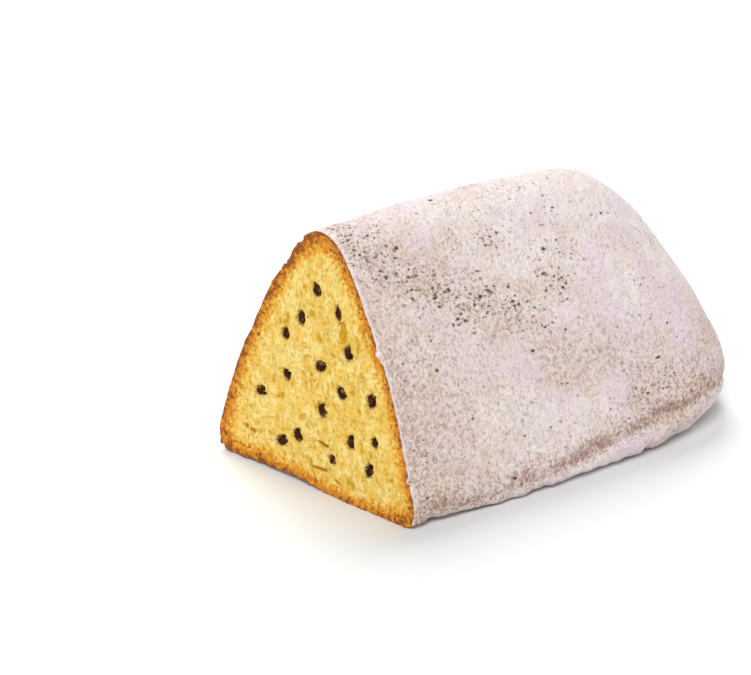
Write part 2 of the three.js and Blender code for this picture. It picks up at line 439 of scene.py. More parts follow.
# Pores scattered over the slice: their width in millimetres, how many are tried and how deep they are.
PORES = ((1.5, 900, 0.45), (2.4, 220, 0.75), (3.8, 26, 0.9))
POCKET_ROOM = 1.16  # a drop's pocket is this much wider than the drop
POCKET_DEPTH = 3.6  # millimetres

# Hollows and tears in the slice: across and up it from the middle of its lower edge, width, height
# and depth in millimetres, and turn in degrees.
HOLLOWS = (
    (15.0, 73.8, 4.8, 10.5, 2.0, -4),
    (-19.5, 72.0, 3.4, 4.4, 1.0, 0),
    (-4.0, 77.3, 5.2, 4.0, 0.9, 10),
    (-22.0, 36.0, 6.2, 3.0, 1.0, 20),
    (6.2, 21.6, 7.6, 2.2, 3.0, -2),
    (-42.6, 15.6, 3.2, 2.3, 2.4, 6),
    (-38.6, 14.6, 4.2, 2.1, 2.6, -4),
    (3.8, 10.0, 9.0, 1.6, 1.8, 2),
    (14.6, 7.2, 3.4, 2.6, 1.9, 0),
    (46.3, 17.8, 3.0, 2.8, 1.0, 20),
    (-8.0, 30.0, 5.5, 3.4, 0.8, 30),
    (26.0, 58.0, 3.0, 5.0, 0.7, -10),
    (-27.0, 52.0, 3.2, 5.4, 0.7, 8),
    (9.0, 62.5, 4.0, 2.6, 0.8, 0),
    (24.0, 37.0, 5.0, 2.8, 0.7, 24),
)


def oval_distance(u, v, oval):
    """0 at an oval's middle and 1 on its edge. The oval is middle across and up, width, height and turn."""
    middle_u, middle_v, width, height, turn = oval
    a = (u - middle_u) * math.cos(turn) + (v - middle_v) * math.sin(turn)
    b = (v - middle_v) * math.cos(turn) - (u - middle_u) * math.sin(turn)
    return np.hypot(2 * a / width, 2 * b / height)


def bowl(distance):
    """Depth of a bowl whose section is a half circle: 1 in its middle, 0 from its edge outwards."""
    return np.sqrt(np.maximum(1 - distance**2, 0))


def scatter_pores(u, v, seed):
    """How deep each point of the slice lies in its deepest random pore."""
    rng = np.random.default_rng(seed)
    reach_u = np.abs(u).max()
    reach_v = v.max()
    depth = np.zeros_like(u)
    for size, count, deepest in PORES:
        for _ in range(count):
            width = size * MM * rng.uniform(0.6, 1.3)
            middle = (rng.uniform(-reach_u, reach_u), rng.uniform(0, reach_v))
            oval = (*middle, width, width * rng.uniform(0.9, 2.1), rng.normal(0, 0.35))
            near = (np.abs(u - oval[0]) < oval[3]) & (np.abs(v - oval[1]) < oval[3])
            pore = deepest * rng.uniform(0.5, 1.2) * bowl(oval_distance(u[near], v[near], oval))
            depth[near] = np.maximum(depth[near], pore)
    return depth


def crumb_relief(u, v, rind, drops, shape):
    """How far the crumb stands out from the slice, how deep each point lies in a pore or a hollow, and how
    near a drop it is. Pores, hollows and the drops' pockets are bowls, the last two with ragged edges."""
    seed = shape.seed + 20
    flat = np.stack([u, v, np.zeros_like(u)], -1)
    inner = step_up(rind, 1.5 * MM, 6 * MM)
    torn = 0.30 * lumps(flat, (7 * MM, 13 * MM, 1), seed)
    torn += 0.18 * lumps(flat, (2.6 * MM, 5.5 * MM, 1), seed + 1)
    torn += 0.13 * lumps(flat, (1.2 * MM, 1.9 * MM, 1), seed + 2)
    crisp = 0.35 * (1 - step_up(rind, 0, 3 * MM)) + 0.16 * (1 - inner) * lumps(flat, 1.3 * MM, seed + 3)
    pores = scatter_pores(u, v, seed + 4)
    hollow_edge = 0.34 * lumps(flat, 1.9 * MM, seed + 5)
    hollow_grit = 0.20 * lumps(flat, 0.9 * MM, seed + 6)
    hollows = np.zeros_like(u)
    for middle_u, middle_v, width, height, depth, turn in HOLLOWS:
        oval = (middle_u * MM, middle_v * MM, width * MM, height * MM, math.radians(turn))
        distance = oval_distance(u, v, oval) + hollow_edge + hollow_grit
        hollows = np.maximum(hollows, depth * bowl(distance))
    deep = np.maximum(pores * inner, hollows)
    pockets = np.zeros_like(u)
    stain = np.zeros_like(u)
    pocket_edge = 0.26 * lumps(flat, 1.4 * MM, seed + 7) + 0.18 * lumps(flat, 0.8 * MM, seed + 8)
    for drop in drops:
        distance = oval_distance(u, v, drop["oval"]) + pocket_edge
        pockets = np.maximum(pockets, POCKET_DEPTH * bowl(distance / POCKET_ROOM))
        stain = np.maximum(stain, np.exp(-((np.maximum(distance - 0.95, 0) / 0.22) ** 2)))
    height = torn + crisp - deep
    height = np.where(pockets > 0, np.minimum(height, 0) - pockets, height)
    return shape.relief * MM * height, deep, stain


def drop_places(shape, shift):
    """Each drop as it lies in the frame: its outline on the slice as an oval, and how deep it reaches."""
    across, up, out = cut_axes(shape)
    drops = []
    for name in DROP_NODES:
        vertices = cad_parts[name].data.vertices
        points = np.empty(len(vertices) * 3)
        vertices.foreach_get("co", points)
        points = points.reshape(-1, 3) - shift
        u, v, depth = points @ across, points @ up, points @ out
        front = depth > depth.max() - 0.2 * MM
        middle = np.array([(u[front].min() + u[front].max()) / 2, (v[front].min() + v[front].max()) / 2])
        spread = np.stack([u[front], v[front]], -1) - middle
        far = spread[np.argmax(np.linalg.norm(spread, axis=1))]
        turn = math.atan2(-far[0], far[1]) if far[1] > 0 else math.atan2(far[0], -far[1])
        along = spread @ np.array([-math.sin(turn), math.cos(turn)])
        beside = spread @ np.array([math.cos(turn), math.sin(turn)])
        oval = (*middle, np.ptp(beside), np.ptp(along), turn)
        drops.append({"name": name, "oval": oval, "depth": -depth.min()})
    return drops


def rim_nearness(u, v, rim_u, rim_v, reach):
    """How near each point of the slice is to its outline: the distance to the nearest point of the closed
    line, and how baked it is, which is 1 on a straight edge, falls off over reach and counts both edges of
    a corner. The points are taken in lots, to keep the arrays small."""
    start = np.stack([rim_u, rim_v], -1)
    along = np.roll(start, -1, axis=0) - start
    squared = np.einsum("ij,ij->i", along, along)
    nearest = np.empty(len(u))
    baked = np.empty(len(u))
    for lot in np.array_split(np.arange(len(u)), 32):
        to_point = np.stack([u[lot], v[lot]], -1)[:, None] - start
        share = np.clip(np.einsum("kij,ij->ki", to_point, along) / squared, 0, 1)
        gap = np.linalg.norm(to_point - along * share[..., None], axis=-1)
        nearest[lot] = gap.min(axis=1)
        baked[lot] = (np.exp(-gap / reach) * np.sqrt(squared)).sum(axis=1) / (2 * reach)
    return nearest, baked


def frame_shift(shape):
    """What moves the bar's own axes, whose origin is on the slice, to the packed frame: the boxes round the
    smooth bar and round the packed loaf get the same middle and the same underside."""
    angles = np.linspace(0, TURN, 720, endpoint=False)
    upright = fan(angles, X_AXIS, Z_AXIS)
    sections = 24
    rings = [cut_outline(angles, shape)]
    for along in np.linspace(10 * MM, shape.end_from, sections):
        rings.append(leave_loaf(np.array([0, along, shape.axis_height]), upright, shape))
    for swing in np.linspace(0, math.pi / 2, sections):
        rings.append(leave_loaf(end_middle(shape), swing_out(upright, swing), shape))
    points = np.concatenate(rings)
    centre = (points.min(axis=0) + points.max(axis=0)) / 2
    target = LOAF_BOX.mean(axis=0)
    return np.array([target[0] - centre[0], target[1] - centre[1], LOAF_BOX[0, 2]])


def straight_rows(columns, shape):
    """The smooth crust along the straight part, as rows of rays. From row to row their start moves from the
    slice's middle to where the rounded end begins, and their plane turns from the slice's to upright."""
    across, up, _ = cut_axes(shape)
    share = ((np.arange(1, STRAIGHT_ROWS + 1) / STRAIGHT_ROWS) ** ROW_CROWDING)[:, None, None]
    sliced = fan(columns, across, up)
    upright = fan(columns, X_AXIS, Z_AXIS)
    directions = sliced + (upright - sliced) * share
    directions /= np.linalg.norm(directions, axis=-1, keepdims=True)
    starts = cut_middle(shape) + (end_middle(shape) - cut_middle(shape)) * share
    starts = np.broadcast_to(starts, directions.shape)
    return leave_loaf(starts.reshape(-1, 3), directions.reshape(-1, 3), shape)


def end_rows(columns, shape):
    """The smooth crust over the rounded end, as rows of rays that swing from upright towards lengthwise."""
    swing = np.arange(1, END_ROWS + 1) / END_ROWS * CAP_FROM
    directions = swing_out(fan(columns, X_AXIS, Z_AXIS), swing[:, None])
    return leave_loaf(end_middle(shape), directions.reshape(-1, 3), shape)


def end_cap(columns, radius, turn, shape):
    """The smooth crust inside the last row, at points of a disc whose middle looks straight lengthwise."""
    angles = np.interp(turn, np.arange(COLUMNS + 1) / COLUMNS, np.append(columns, TURN))
    swing = math.pi / 2 - radius * (math.pi / 2 - CAP_FROM)
    return leave_loaf(end_middle(shape), swing_out(fan(angles, X_AXIS, Z_AXIS), swing), shape)


def sliced_face(drops, shape):
    """The slice as a disc of quads that ends on the lumpy crust's own outline, with the crumb's relief on it.
    Returns its points, its quads, the angles of its outline and what the crumb's finish reads."""
    across, up, out = cut_axes(shape)
    middle = cut_middle(shape)
    radius, turn, quads = disc_grid(FACE_RINGS)
    rim_angles = even_angles(shape, 6 * FACE_RINGS, 1.0)
    rim = cut_outline(rim_angles, shape)
    rim += loaf_normals(rim, shape) * crust_relief(rim, np.zeros(len(rim)), shape)[:, None]
    rim -= np.outer(rim @ out, out)
    reach = np.linalg.norm(rim - middle, axis=1)
    heading = np.unwrap(np.arctan2((rim - middle) @ across, (rim - middle) @ up))
    rim_turns = np.arange(len(rim) + 1) / len(rim)
    angles = np.interp(turn, rim_turns, np.append(heading, heading[0] + TURN))
    reaches = np.interp(turn, rim_turns, np.append(reach, reach[0])) * radius
    points = middle + fan(angles, across, up) * reaches[:, None]
    u, v = points @ across, points @ up
    rind, baked = rim_nearness(u, v, rim @ across, rim @ up, 3.4 * MM)
    baked *= 1 + 0.16 * step_down(u, -30 * MM, -5 * MM) + 0.42 * step_up(v, 88 * MM, 108 * MM)
    height, deep, stain = crumb_relief(u, v, rind, drops, shape)
    points += np.outer(height, out)
    return points, quads, rim_angles, {"baked": baked, "deep": deep, "stain": stain}


def make_loaf(shape):
    """The loaf as one closed surface: the slice as a disc of quads, the crust as rows of rays from the bar's
    axis, and a small disc of quads that closes the rounded end."""
    shift = frame_shift(shape)
    columns = even_angles(shape, COLUMNS, UNDERSIDE_SHARE)
    cap_radius, cap_turn, cap_quads = disc_grid(COLUMNS // 6)
    inner = cap_radius < 1
    cap = end_cap(columns, cap_radius[inner], cap_turn[inner], shape)
    crust = np.concatenate([straight_rows(columns, shape), end_rows(columns, shape), cap])
    from_cut = -(crust @ cut_axes(shape)[2])
    crust += loaf_normals(crust, shape) * crust_relief(crust, from_cut, shape)[:, None]
    face, face_quads, rim_angles, crumb_marks = sliced_face(drop_places(shape, shift), shape)
    points = np.concatenate([face, crust])
    points[:, 2] = np.maximum(points[:, 2], 0)

    # Faces: the rows, the zip from the slice's outline to the first row, and the cap inside the last.
    row_count = STRAIGHT_ROWS + END_ROWS
    numbers = len(face) + np.arange(row_count * COLUMNS).reshape(row_count, COLUMNS)
    ahead = np.roll(numbers, -1, axis=1)
    rows = np.stack([numbers[:-1], ahead[:-1], ahead[1:], numbers[1:]], -1).reshape(-1, 4)
    rim_numbers = len(face) - len(rim_angles) + np.arange(len(rim_angles))
    zipped = zip_rings(rim_numbers, rim_angles / TURN, numbers[0], columns / TURN)
    cap_numbers = np.empty(len(cap_radius), int)
    cap_numbers[inner] = len(face) + numbers.size + np.arange(len(cap))
    cap_numbers[~inner] = numbers[-1]
    parts = (face_quads[:, ::-1], rows, zipped, cap_numbers[cap_quads])
    faces = [corners for part in parts for corners in part.tolist()]

    piece = build_mesh("loaf_baked", points + shift, faces)
    is_crumb = np.arange(len(faces)) < len(face_quads)
    piece.data.polygons.foreach_set("material_index", is_crumb.astype(np.int32))
    for name, values in crumb_marks.items():
        paint(piece, name, np.append(values, np.zeros(len(crust))))
    for name, values in crust_marks(points, shape).items():
        paint(piece, name, values)
    return piece


# Where the crust's small pits crowd together: along the loaf from the cut, height and reach, in
# millimetres, and how thickly they stand there.
PIT_CROWDS = (
    (14, 108, 10, 1.0),
    (24, 104, 11, 1.0),
    (34, 95, 8, 0.9),
    (44, 88, 11, 0.8),
    (56, 80, 10, 1.0),
    (66, 81, 9, 0.8),
    (78, 75, 9, 0.8),
    (92, 70, 9, 0.7),
    (100, 76, 7, 0.4),
    (79, 102, 7, 0.7),
    (104, 83, 10, 0.9),
    (114, 90, 8, 0.8),
    (112, 105, 8, 0.4),
    (96, 47, 6, 0.4),
    (118, 49, 7, 0.5),
    (139, 31, 7, 0.6),
    (150, 34, 8, 0.4),
    (36, 60, 9, 0.4),
    (18, 30, 8, 0.3),
    (150, 70, 9, 0.4),
    (168, 90, 9, 0.3),
)

# Stretches where the crease is bare whatever the random patches say: along the loaf from the cut and reach,
# in millimetres, and how bare they are.
BARE_STRETCHES = ((34, 9, 0.35), (112, 17, 0.75))


def crust_marks(points, shape):
    """What the crust's finish reads, each from 0 to about 1: how bare of sugar it is, how thin the sugar lies
    and how thickly pitted it is. It is bare along the crease and underneath. The sugar is thin above the
    crease, by the cut and in patches, thick along the ridge, and whole on a ragged strip beside the cut. It
    is also made thick on the upper flank towards the far end, which paints that part paler as painted light.
    Pits crowd round listed places on the +X side and at random elsewhere."""
    seed = shape.seed + 40
    x, y, z = points.T
    above = above_crease(points, shape) + 1.2 * MM * stripes(points, 7 * MM, seed + 3)
    patchy = 0.5 + 0.5 * lumps(points, (30 * MM, 11 * MM, 5 * MM), seed)
    for along, reach, share in BARE_STRETCHES:
        patchy = np.maximum(patchy, share * np.exp(-(((y / MM - along) / reach) ** 2)))
    line = 0.82 * np.exp(-(((above - 3.5 * MM) / (5.2 * MM)) ** 2)) * (0.2 + 0.8 * patchy)
    climb = (5 + 9 * step_up(y, 60 * MM, 170 * MM)) * MM
    spread = (0.63 + 0.15 * step_up(y, 110 * MM, 170 * MM)) * np.exp(-np.maximum(above, 0) / climb)
    spread *= step_up(above, -1.5 * MM, 1 * MM) * (0.5 + 0.6 * patchy)
    under = step_down(z, 0.2 * MM, 1.5 * MM)
    bare = np.maximum(np.maximum(line, spread), under)

    crowd = np.zeros(len(points))
    for along, height, reach, share in PIT_CROWDS:
        near = np.exp(-(((y / MM - along) ** 2 + (z / MM - height) ** 2) / reach**2))
        crowd = np.maximum(crowd, share * near)
    crowd *= step_up(x, -4 * MM, 4 * MM)
    elsewhere = 0.8 * step_up(lumps(points, 17 * MM, seed + 1), 0.2, 0.8) * step_down(x, -4 * MM, 4 * MM)
    pitted = np.maximum(crowd, elsewhere)

    drift = step_up(lumps(points, 24 * MM, seed + 2) + 0.4 * lumps(points, 9 * MM, seed + 4), -0.5, 0.6)
    by_cut = np.minimum(1.05 * np.exp(-np.maximum(y, 0) / (45 * MM)), 0.78)
    by_cut *= 1 + 0.6 * step_down(z, 45 * MM, 85 * MM)
    low = 0.6 * np.exp(-np.maximum(above, 0) / (16 * MM)) * step_up(above, -2 * MM, 1 * MM)
    thin = np.maximum.reduce([by_cut, low, 0.75 * pitted, 0.9 * drift])
    # Painted light: the upper flank towards the far end is made thick with sugar, which paints it paler.
    thin *= 1 - 0.85 * step_up(y, 85 * MM, 150 * MM) * step_up(z, 30 * MM, 70 * MM)
    thin *= 1 - 0.7 * step_up(z, 98 * MM, 116 * MM) * step_up(y, 5 * MM, 50 * MM)
    ragged = 1.1 * MM * lumps(points, 2.6 * MM, seed + 5)
    thin *= step_up(-(points @ cut_axes(shape)[2]) + ragged, 0.2 * MM, 1.8 * MM)
    return {"bare": bare, "thin": thin, "pitted": pitted}


# ---------- the drops ----------


DROP_STEPS = 24  # steps from the front of a drop to its back
DROP_SIDES = 44  # points round it at each step
DROP_FILL = 0.87  # a drop's body is this much of its outline across, before its lumps
DROP_REACH = 0.93  # and this much of the packed drop's depth
CUT_RISE = 0.50 * MM  # how far the flattened front stands out of the body's middle
SUNK = 0.55 * MM  # how far that middle lies below the slice

# Drops that the knife dragged out to a point: the way the point lies, in degrees from across towards up, and
# how far it reaches, as a share of the drop's radius. The others have a slight one that points up.
TAILS = {1: (62, 0.30), 3: (78, 0.35), 6: (235, 0.50), 10: (100, 0.30), 13: (4, 1.15), 14: (-70, 0.25)}
NO_TAIL = (90, 0.12)


def make_drop(drop, number, shape, shift):
    """A chocolate drop as one closed surface: rings from pole to pole of an oval body that is lumpy,
    flattened where the knife passed and on some drops drawn out to a point."""
    across, up, out = cut_axes(shape)
    middle_u, middle_v, width, height, turn = drop["oval"]
    polar = np.linspace(0, math.pi, DROP_STEPS + 1)[1:-1]
    round_angle = np.arange(DROP_SIDES) / DROP_SIDES * TURN
    polar_grid, round_grid = np.meshgrid(polar, round_angle, indexing="ij")
    a = np.sin(polar_grid) * np.cos(round_grid)
    b = np.sin(polar_grid) * np.sin(round_grid)
    body = np.stack([a.ravel(), b.ravel(), np.cos(polar_grid).ravel()], -1)
    body = np.concatenate([[Z_AXIS], body, [-Z_AXIS]])
    seeds = shape.seed + 100 + number
    lumpy = 0.88 + 0.30 * lumps(body + 10, 0.7, seeds) + 0.26 * lumps(body + 10, 0.36, seeds + 30)
    lumpy += 0.12 * lumps(body + 10, 0.19, seeds + 90)
    way, reach = TAILS.get(number, NO_TAIL)
    bearing = np.arctan2(body[:, 1], body[:, 0]) - math.radians(way) + turn
    lumpy += reach * np.maximum(np.cos(bearing), 0) ** 9 * np.hypot(body[:, 0], body[:, 1])
    body *= lumpy[:, None]
    cut_level = CUT_RISE * (1 + 0.5 * lumps(body + 20, 0.45, seeds + 60))
    flattened = cut_level * np.tanh(1.9 * body[:, 2])
    rise = np.where(body[:, 2] > 0, flattened, DROP_REACH * drop["depth"] * body[:, 2])
    local_u = DROP_FILL * body[:, 0] * width / 2
    local_v = DROP_FILL * body[:, 1] * height / 2
    u = middle_u + local_u * math.cos(turn) - local_v * math.sin(turn)
    v = middle_v + local_u * math.sin(turn) + local_v * math.cos(turn)
    points = np.outer(u, across) + np.outer(v, up) + np.outer(rise - SUNK, out) + shift

    numbers = 1 + np.arange(a.size).reshape(a.shape)
    ahead = np.roll(numbers, -1, axis=1)
    bands = np.stack([numbers[:-1], numbers[1:], ahead[1:], ahead[:-1]], -1).reshape(-1, 4)
    first = np.zeros(DROP_SIDES, int)
    last = np.full(DROP_SIDES, len(points) - 1)
    top = np.stack([first, numbers[0], ahead[0]], -1)
    bottom = np.stack([last, ahead[-1], numbers[-1]], -1)
    piece = build_mesh("cut_" + drop["name"], points, top.tolist() + bands.tolist() + bottom.tolist())
    paint(piece, "smear", np.clip(body[:, 2], 0, 1))
    return piece


# ---------- finishes ----------


class Finish:
    """A material under construction: adds shader nodes and joins them."""

    def __init__(self, name):
        self.material = bpy.data.materials.new(name)
        self.material.use_nodes = True
        self.tree = self.material.node_tree
        self.tree.nodes.clear()
        self.shader = self.add("ShaderNodeBsdfPrincipled")
        output = self.add("ShaderNodeOutputMaterial")
        self.tree.links.new(self.shader.outputs["BSDF"], output.inputs["Surface"])
        self.place = self.add("ShaderNodeTexCoord").outputs["Object"]

    def add(self, kind, **settings):
        """A node of the given kind with its settings."""
        node = self.tree.nodes.new(kind)
        for key, value in settings.items():
            setattr(node, key, value)
        return node

    def feed(self, socket, value):
        """Joins a socket to another, or gives it a plain value."""
        if isinstance(value, bpy.types.NodeSocket):
            self.tree.links.new(value, socket)
        elif socket.type == "RGBA":
            socket.default_value = (*value, 1)
        else:
            socket.default_value = value

    def surface(self, name, value):
        """Joins a socket of the shader to another, or gives it a plain value."""
        self.feed(self.shader.inputs[name], value)

    def painted(self, name):
        """The number painted on the mesh under that name."""
        return self.add("ShaderNodeAttribute", attribute_name=name).outputs["Fac"]

    def math(self, operation, a, b=0.0, c=0.0):
        """Arithmetic on two or three numbers."""
        node = self.add("ShaderNodeMath", operation=operation)
        for socket, value in zip(node.inputs, (a, b, c)):
            self.feed(socket, value)
        return node.outputs[0]

    def band(self, value, low, high, to_low=0.0, to_high=1.0):
        """value eased from to_low at low to to_high at high."""
        node = self.add("ShaderNodeMapRange", interpolation_type="SMOOTHSTEP")
        sockets = ("Value", "From Min", "From Max", "To Min", "To Max")
        for key, entry in zip(sockets, (value, low, high, to_low, to_high)):
            self.feed(node.inputs[key], entry)
        return node.outputs["Result"]

    def mix(self, share, first, second):
        """Two colours mixed: the first where share is 0 and the second where it is 1. The node's sockets go
        by number, because their names repeat."""
        node = self.add("ShaderNodeMix", data_type="RGBA", clamp_factor=True)
        for socket, value in ((node.inputs[0], share), (node.inputs[6], first), (node.inputs[7], second)):
            self.feed(socket, value)
        return node.outputs[2]

    def stretched(self, scale):
        """The place on the piece, scaled along each axis."""
        node = self.add("ShaderNodeMapping")
        self.feed(node.inputs["Vector"], self.place)
        node.inputs["Scale"].default_value = scale
        return node.outputs["Vector"]

    def noise(self, size, detail=2.0, roughness=0.5, place=None, distortion=0.0):
        """Cloudy noise around 0.5 whose lumps are about size across."""
        node = self.add("ShaderNodeTexNoise")
        self.feed(node.inputs["Vector"], place or self.place)
        node.inputs["Scale"].default_value = 0.5 / size
        node.inputs["Detail"].default_value = detail
        node.inputs["Roughness"].default_value = roughness
        node.inputs["Distortion"].default_value = distortion
        return node.outputs["Fac"]

    def cells(self, size, place=None):
        """Scattered points about size apart: the distance to the nearest, in cells, and two random numbers of
        its own."""
        node = self.add("ShaderNodeTexVoronoi")
        self.feed(node.inputs["Vector"], place or self.place)
        node.inputs["Scale"].default_value = 1 / size
        split = self.add("ShaderNodeSeparateColor")
        self.feed(split.inputs["Color"], node.outputs["Color"])
        return node.outputs["Distance"], split.outputs["Red"], split.outputs["Green"]

    def bump(self, height, distance, strength=1.0):
        """Fine relief from a height from 0 to 1, distance deep, on top of any before it."""
        node = self.add("ShaderNodeBump")
        node.inputs["Strength"].default_value = strength
        node.inputs["Distance"].default_value = distance
        self.feed(node.inputs["Height"], height)
        if self.shader.inputs["Normal"].is_linked:
            self.feed(node.inputs["Normal"], self.shader.inputs["Normal"].links[0].from_socket)
        self.feed(self.shader.inputs["Normal"], node.outputs["Normal"])


def sugared_crust(colours):
    """Icing sugar on baked crust: cool, pale and warm patches, grains with crust between them, more of it
    where the sugar lies thin, bare crust and small pits darkened with painted shade."""
    finish = Finish("sugared_crust")
    patches = finish.noise(17 * MM, detail=3, roughness=0.55)
    drifts = finish.noise(6 * MM, detail=4, roughness=0.6)
    grain = finish.noise(0.62 * MM, detail=2, roughness=0.7)
    worms = finish.noise(1.1 * MM, detail=3, roughness=0.65, distortion=0.35)
    thin = finish.painted("thin")
    bare = finish.painted("bare")

    # Broad patches, cooler and warmer where the sugar is thin.
    patches = finish.math("MULTIPLY_ADD", thin, -0.12, patches)
    base = finish.mix(finish.band(patches, 0.40, 0.54), colours.sugar_cool, colours.sugar_pale)
    warmth = finish.math("MULTIPLY_ADD", thin, 0.75, finish.band(drifts, 0.42, 0.66, -0.1, 0.45))
    base = finish.mix(warmth, base, colours.sugar_warm)

    # Crust between the grains.
    mottle = finish.math("MULTIPLY_ADD", grain, 0.55, finish.math("MULTIPLY", worms, 0.45))
    cover = finish.math("MULTIPLY_ADD", bare, 0.6, finish.math("MULTIPLY_ADD", thin, 0.47, 0.17))
    shade = finish.math("MULTIPLY", finish.band(mottle, 0.38, 0.64), cover)
    base = finish.mix(shade, base, colours.gap)

    # Stained sugar along the crease, scattered flecks, and ragged bare crust.
    base = finish.mix(finish.band(bare, 0.25, 1.0, 0.0, 0.65), base, colours.stained)
    flecks = finish.math("MULTIPLY_ADD", finish.math("SUBTRACT", grain, 0.5), 0.9, worms)
    flecks = finish.math("MULTIPLY_ADD", thin, 0.20, flecks)
    base = finish.mix(finish.band(flecks, 0.61, 0.97, 0.0, 0.75), base, colours.gap)
    ragged = finish.math("MULTIPLY_ADD", finish.math("SUBTRACT", worms, 0.5), 1.5, bare)
    ragged = finish.math("MULTIPLY_ADD", finish.math("SUBTRACT", grain, 0.5), 1.4, ragged)
    base = finish.mix(finish.band(ragged, 0.17, 1.10, 0, 0.80), base, colours.bare)

    # Painted shade inside the small pits.
    pits = crust_pits(finish)
    base = finish.mix(pits, base, colours.pit_crust_and_shade)
    finish.surface("Base Color", base)
    finish.surface("Roughness", finish.band(grain, 0.3, 0.7, 0.82, 0.98))
    finish.surface("Specular IOR Level", 0.2)
    finish.bump(finish.math("SUBTRACT", 1.0, grain), 0.7 * MM, 0.9)
    finish.bump(finish.math("SUBTRACT", 1.0, worms), 1.5 * MM, 1.0)
    finish.bump(finish.math("SUBTRACT", 1.0, pits), 0.5 * MM, 0.8)
    return finish.material


# Layers of pits: how far apart the places for them lie, the share of those places that holds a pit where pits
# are rare and where they crowd, the smallest pits' radius in cells, and how dark their painted shade is.
PIT_LAYERS = (
    (3.2 * MM, 0.0, 0.24, 0.12, 0.92),
    (2.4 * MM, 0.008, 0.24, 0.12, 0.90),
    (1.8 * MM, 0.012, 0.42, 0.16, 0.78),
    (1.3 * MM, 0.03, 0.70, 0.20, 0.50),
)


def crust_pits(finish):
    """How dark the painted shade in the small pits is, and 0 outside them: a share of scattered points,
    larger where pits crowd. The places are bent by noise so that pits come out as short irregular dashes."""
    crowd = finish.painted("pitted")
    bend = finish.add("ShaderNodeTexNoise")
    finish.feed(bend.inputs["Vector"], finish.place)
    bend.inputs["Scale"].default_value = 620  # lumps of about 0.8 mm
    bend.inputs["Detail"].default_value = 2
    offset = finish.add("ShaderNodeVectorMath", operation="MULTIPLY_ADD")
    finish.feed(offset.inputs[0], bend.outputs["Color"])
    offset.inputs[1].default_value = (1.1 * MM, 1.9 * MM, 1.0 * MM)
    finish.feed(offset.inputs[2], finish.stretched((1.0, 0.72, 1.0)))
    place = offset.outputs[0]
    total = None
    for size, share_low, share_high, radius, darkness in PIT_LAYERS:
        distance, chance, width = finish.cells(size, place)
        chosen = finish.math("LESS_THAN", chance, finish.band(crowd, 0.0, 1.0, share_low, share_high))
        limit = finish.math("MULTIPLY_ADD", width, 0.16, radius)
        inside = finish.band(finish.math("SUBTRACT", distance, limit), -0.06, 0.12, darkness, 0.0)
        pit_crust_and_shade = finish.math("MULTIPLY", chosen, inside)
        total = pit_crust_and_shade if total is None else finish.math("MAXIMUM", total, pit_crust_and_shade)
    return total


